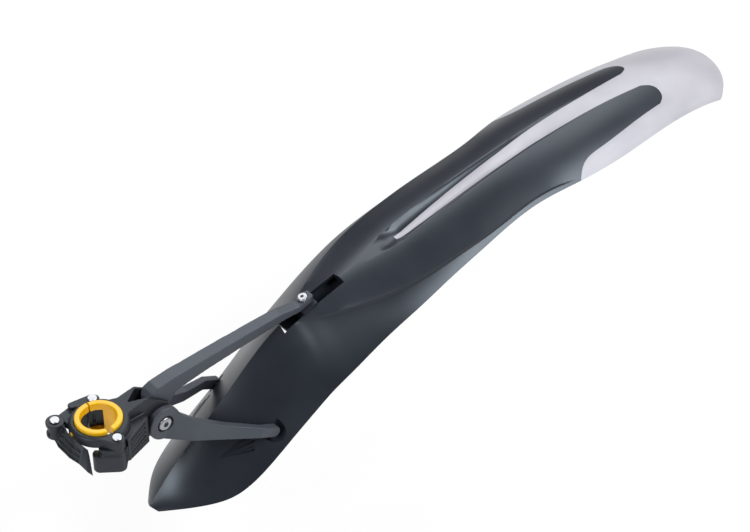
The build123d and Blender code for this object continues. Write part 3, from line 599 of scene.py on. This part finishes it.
def softened(node, voxel, rounds):
    """Copy of a CAD node with its edges rounded."""
    piece = new_piece(node + "_moulding", frame["nodes"][node].data.copy())
    work = bmesh.new()
    work.from_mesh(piece.data)
    bmesh.ops.remove_doubles(work, verts=work.verts, dist=0.001 * MM)
    work.to_mesh(piece.data)
    work.free()
    skin = piece.modifiers.new("skin", "REMESH")
    skin.mode = "VOXEL"
    skin.voxel_size = voxel * MM
    relax = piece.modifiers.new("relax", "SMOOTH")
    relax.factor = 0.5
    relax.iterations = rounds
    settle(piece)
    piece.data.shade_smooth()
    return piece


dress(softened("clamp_body", 0.46, 3), "clamp_body", clamp_black)
for node in ("front_jaw", "clasp_link", "quick_release_lever"):
    dress(softened(node, 0.35, 3), node, clamp_black)
for node in ("top_arm", "side_arm_left", "side_arm_right"):
    dress(softened(node, 0.45, 6), node, arm_grey)
for node in ("bush_rear", "bush_front"):
    dress(softened(node, 0.35, 3), node, yellow_rubber)
for node in ("slot_slider", "slot_nut_plate"):
    paint(frame["nodes"][node], clamp_black)
for node in ("hinge_pin", "link_pin", "lever_pin", "pivot_bolt", "slot_bolt"):
    paint(frame["nodes"][node], bright_steel)
for node in ("pivot_nut", "socket_screws"):
    paint(frame["nodes"][node], dull_steel)

# Floor, light and camera
FLOOR_GAP = 0.06
FLOOR_HALF = 6.0
FLOOR_SHINE = 0.88

floor_z = cad_box[0].z - FLOOR_GAP
floor_mesh = bpy.data.meshes.new("floor")
floor_signs = ((-1, -1), (1, -1), (1, 1), (-1, 1))
floor_corners = [(sx * FLOOR_HALF, sy * FLOOR_HALF, floor_z) for sx, sy in floor_signs]
floor_mesh.from_pydata(floor_corners, [], [(0, 1, 2, 3)])
floor = new_piece("floor", floor_mesh)


def floor_material():
    """White paper: it shows white to the camera and keeps a soft shadow."""
    material = bpy.data.materials.new("white_floor")
    material.use_nodes = True
    tree = material.node_tree
    paper = tree.nodes["Principled BSDF"]
    paper.inputs["Base Color"].default_value = (0.9, 0.9, 0.9, 1)
    paper.inputs["Roughness"].default_value = 0.9
    rays = tree.nodes.new("ShaderNodeLightPath")
    seen = tree.nodes.new("ShaderNodeMath")
    seen.operation = "MAXIMUM"
    tree.links.new(rays.outputs["Is Camera Ray"], seen.inputs[0])
    tree.links.new(rays.outputs["Is Glossy Ray"], seen.inputs[1])
    through = tree.nodes.new("ShaderNodeMath")
    through.operation = "MAXIMUM"
    tree.links.new(seen.outputs["Value"], through.inputs[0])
    tree.links.new(rays.outputs["Is Transmission Ray"], through.inputs[1])
    share = tree.nodes.new("ShaderNodeMath")
    share.operation = "MULTIPLY"
    tree.links.new(through.outputs["Value"], share.inputs[0])
    share.inputs[1].default_value = FLOOR_SHINE
    white = add_node(tree, "ShaderNodeEmission", Strength=1.0)
    mix = tree.nodes.new("ShaderNodeMixShader")
    tree.links.new(share.outputs["Value"], mix.inputs["Fac"])
    tree.links.new(paper.outputs["BSDF"], mix.inputs[1])
    tree.links.new(white.outputs["Emission"], mix.inputs[2])
    tree.links.new(mix.outputs["Shader"], tree.nodes["Material Output"].inputs["Surface"])
    return material


paint(floor, floor_material())

scene = bpy.context.scene
scene.view_settings.view_transform = "Standard"
world = bpy.data.worlds.new("studio")
world.use_nodes = True
world.node_tree.nodes["Background"].inputs["Color"].default_value = (0.92, 0.96, 1.0, 1)
world.node_tree.nodes["Background"].inputs["Strength"].default_value = 0.16
scene.world = world

# The lights face this place on the blade, in metres
TARGET = Vector((0.31, 0.0, 0.0))


def soft_light(name, place, width, height, power):
    """Large soft light that faces the object."""
    lamp = bpy.data.lights.new(name, "AREA")
    lamp.shape = "RECTANGLE"
    lamp.size = width
    lamp.size_y = height
    lamp.energy = power
    made = bpy.data.objects.new(name, lamp)
    scene.collection.objects.link(made)
    made.location = place
    made.rotation_mode = "QUATERNION"
    made.rotation_quaternion = (TARGET - Vector(place)).to_track_quat("-Z", "Y")


soft_light("key_light", (0.85, 0.82, 1.36), 2.0, 1.1, 23)
soft_light("side_light", (-1.35, -0.25, 1.0), 0.6, 0.6, 14)
soft_light("near_light", (0.84, -0.85, 1.10), 1.2, 0.40, 20)

# The photo's view: from the left, ahead of the clamp and above
CAMERA_PLACE = Vector((-0.6718, -1.0606, 1.1893))
CAMERA_AIM = Vector((0.5026, 0.5781, -0.6428))
CAMERA_LENS = 120.0
camera = bpy.data.objects.new("camera", bpy.data.cameras.new("camera"))
scene.collection.objects.link(camera)
camera.data.sensor_width = 36.0
camera.data.lens = CAMERA_LENS
camera.location = CAMERA_PLACE
camera.rotation_mode = "QUATERNION"
camera.rotation_quaternion = CAMERA_AIM.to_track_quat("-Z", "Y")
scene.camera = camera
